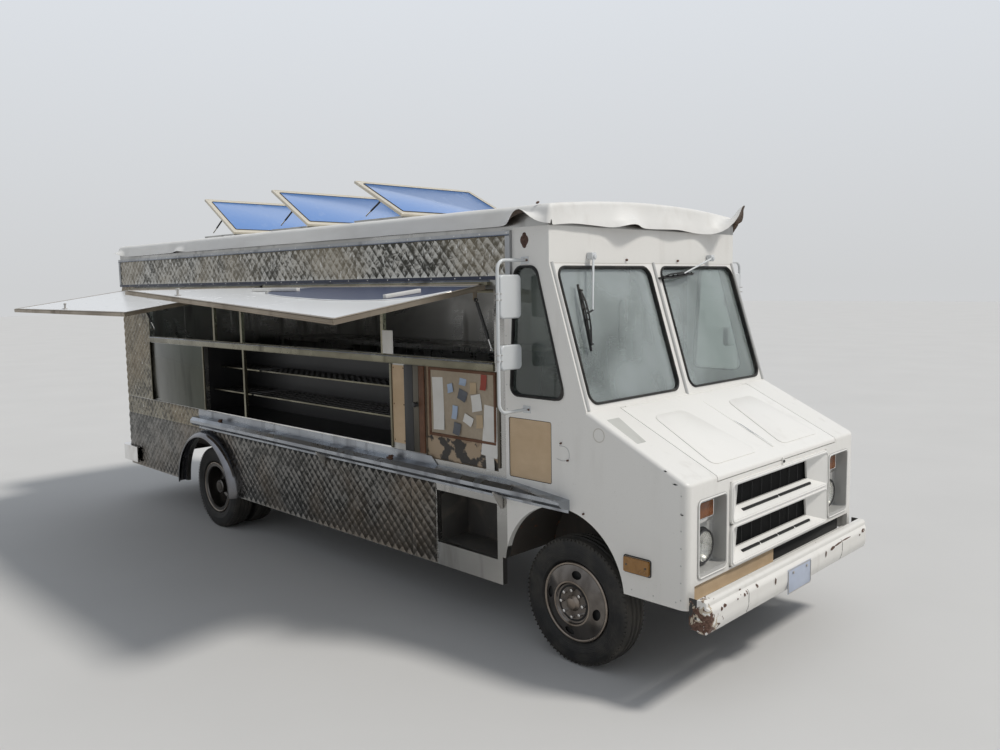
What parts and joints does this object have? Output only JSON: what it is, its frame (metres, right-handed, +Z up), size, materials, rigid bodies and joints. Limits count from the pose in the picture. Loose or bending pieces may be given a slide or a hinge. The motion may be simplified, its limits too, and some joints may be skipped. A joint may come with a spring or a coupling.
{
  "type": "food truck",
  "caption": "Food truck on a step-van chassis with side awnings open, a serving ledge, roof vents and twin rear wheels",
  "frame": {"origin": "middle of the bounding box in X and Y, on the ground", "axes": "+X along the truck to its front, +Y to the driver's side, +Z up"},
  "size_m": [7.515, 3.548, 3.2402],
  "materials": {
    "white_paint": "gloss white enamel, weathered",
    "stainless": "stainless sheet",
    "aluminium": "mill finish aluminium",
    "black_rubber": "black glazing rubber",
    "clear_glass": "clear tinted glass",
    "tyre_rubber": "black tyre",
    "wheel_paint": "dull grey wheel paint",
    "chassis_paint": "black chassis paint",
    "engine_iron": "bare cast iron",
    "amber_lens": "amber lens",
    "red_lens": "red lens",
    "tan_board": "brown board",
    "membrane": "white roofing sheet",
    "vinyl": "black vinyl",
    "dark_liner": "black liner paint",
    "deck": "dark floor deck",
    "dash_plastic": "dark trim",
    "chrome_plate": "polished plate"
  },
  "bodies": {
    "truck": {"amber_lamps": "amber_lens", "axles": "chassis_paint", "board_panels": "tan_board", "cab_front": "white_paint", "cab_glass": "clear_glass", "cab_side_left": "white_paint", "cab_side_right": "white_paint", "chassis_frame": "chassis_paint", "dashboard": "dash_plastic", "display_bay": "dark_liner", "drive_shaft": "chassis_paint", "driver_seat": "vinyl", "engine_block": "engine_iron", "floor_deck": "deck", "front_bumper": "white_paint", "fuel_tank": "chassis_paint", "grille": "white_paint", "headlamps": "clear_glass", "kitchen_counter": "stainless", "lamp_bezels": "white_paint", "mirrors": "white_paint", "nose_shell": "white_paint", "quilted_skirts": "stainless", "rear_bumper": "chrome_plate", "rear_lamps": "red_lens", "rear_wall": "white_paint", "roof_membrane": "membrane", "roof_shell": "aluminium", "service_frames": "aluminium", "service_wall": "stainless", "serving_ledge": "stainless", "side_fascias": "stainless", "street_wall": "white_paint", "wheel_flares": "stainless", "wheelhouses": "chassis_paint", "window_gaskets": "black_rubber", "wipers": "black_rubber"},
    "awning_main": {"awning_main": "aluminium"},
    "awning_rear": {"awning_rear": "aluminium"},
    "strut_barrel_main": {"strut_barrel_main": "chassis_paint"},
    "strut_rod_main": {"strut_rod_main": "chrome_plate"},
    "strut_barrel_rear": {"strut_barrel_rear": "chassis_paint"},
    "strut_rod_rear": {"strut_rod_rear": "chrome_plate"},
    "vent_lid_front": {"vent_lid_front": "aluminium"},
    "vent_lid_middle": {"vent_lid_middle": "aluminium"},
    "vent_lid_rear": {"vent_lid_rear": "aluminium"},
    "hood": {"hood_panel": "white_paint"},
    "driver_door": {"driver_door": "white_paint"},
    "rear_door": {"rear_door": "white_paint"},
    "steer_left": {"knuckle_left": "chassis_paint"},
    "steer_right": {"knuckle_right": "chassis_paint"},
    "front_wheel_left": {"front_wheel_left": "wheel_paint", "front_tyre_left": "tyre_rubber"},
    "front_wheel_right": {"front_wheel_right": "wheel_paint", "front_tyre_right": "tyre_rubber"},
    "rear_wheels_left": {"rear_wheels_left": "wheel_paint", "rear_tyres_left": "tyre_rubber"},
    "rear_wheels_right": {"rear_wheels_right": "wheel_paint", "rear_tyres_right": "tyre_rubber"}
  },
  "joints": [
    {"name": "awning_main_fold", "type": "hinge", "parent": "truck", "child": "awning_main", "pos_m": [2.1525, -0.627, 2.326], "axis": [1, 0, 0], "range_deg": [0, 80]},
    {"name": "strut_main_swing", "type": "hinge", "parent": "awning_main", "child": "strut_barrel_main", "pos_m": [2.1525, -0.687, 2.234], "axis": [1, 0, 0], "range_deg": [-105, 0]},
    {"name": "strut_main_stroke", "type": "slide", "parent": "strut_barrel_main", "child": "strut_rod_main", "axis": [0, 0.3783, -0.9257], "range_m": [-0.03, 0]},
    {"name": "awning_rear_fold", "type": "hinge", "parent": "truck", "child": "awning_rear", "pos_m": [-2.8975, -0.627, 2.326], "axis": [1, 0, 0], "range_deg": [0, 80]},
    {"name": "strut_rear_swing", "type": "hinge", "parent": "awning_rear", "child": "strut_barrel_rear", "pos_m": [-2.8975, -0.687, 2.234], "axis": [1, 0, 0], "range_deg": [-105, 0]},
    {"name": "strut_rear_stroke", "type": "slide", "parent": "strut_barrel_rear", "child": "strut_rod_rear", "axis": [0, 0.3783, -0.9257], "range_m": [-0.03, 0]},
    {"name": "vent_front_tilt", "type": "hinge", "parent": "truck", "child": "vent_lid_front", "pos_m": [0.8065, 0.466, 2.856], "axis": [0, 1, 0], "range_deg": [-27, 20]},
    {"name": "vent_middle_tilt", "type": "hinge", "parent": "truck", "child": "vent_lid_middle", "pos_m": [-0.5055, 0.466, 2.856], "axis": [0, 1, 0], "range_deg": [-30.8, 20]},
    {"name": "vent_rear_tilt", "type": "hinge", "parent": "truck", "child": "vent_lid_rear", "pos_m": [-1.8265, 0.466, 2.856], "axis": [0, 1, 0], "range_deg": [-32.7, 20]},
    {"name": "hood_lift", "type": "hinge", "parent": "truck", "child": "hood", "pos_m": [2.9705, 0.466, 1.58277], "axis": [0, -1, 0], "range_deg": [0, 50]},
    {"name": "driver_door_slide", "type": "slide", "parent": "truck", "child": "driver_door", "axis": [-1, 0, 0], "range_m": [0, 0.61]},
    {"name": "rear_door_swing", "type": "hinge", "parent": "truck", "child": "rear_door", "pos_m": [-3.6085, 0.8, 1.6], "axis": [0, 0, -1], "range_deg": [0, 110]},
    {"name": "steer_right", "type": "hinge", "parent": "truck", "child": "steer_right", "pos_m": [2.8025, -0.334, 0.397], "axis": [0, 0, 1], "range_deg": [-30, 30]},
    {"name": "front_roll_right", "type": "hinge", "parent": "steer_right", "child": "front_wheel_right", "pos_m": [2.8025, -0.437, 0.397], "axis": [0, 1, 0], "continuous": true},
    {"name": "rear_roll_right", "type": "hinge", "parent": "truck", "child": "rear_wheels_right", "pos_m": [-1.7185, -0.333, 0.397], "axis": [0, 1, 0], "continuous": true},
    {"name": "steer_left", "type": "hinge", "parent": "truck", "child": "steer_left", "pos_m": [2.8025, 1.266, 0.397], "axis": [0, 0, 1], "range_deg": [-30, 30]},
    {"name": "front_roll_left", "type": "hinge", "parent": "steer_left", "child": "front_wheel_left", "pos_m": [2.8025, 1.369, 0.397], "axis": [0, 1, 0], "continuous": true},
    {"name": "rear_roll_left", "type": "hinge", "parent": "truck", "child": "rear_wheels_left", "pos_m": [-1.7185, 1.265, 0.397], "axis": [0, 1, 0], "continuous": true}
  ],
  "couplings": [
    {"joint": "strut_main_swing", "follows": "awning_main_fold", "ratio": -1.295},
    {"joint": "strut_main_stroke", "follows": "awning_main_fold", "m_per_rad": -0.0179},
    {"joint": "strut_rear_swing", "follows": "awning_rear_fold", "ratio": -1.295},
    {"joint": "strut_rear_stroke", "follows": "awning_rear_fold", "m_per_rad": -0.0179},
    {"joint": "steer_left", "follows": "steer_right", "ratio": 1}
  ]
}
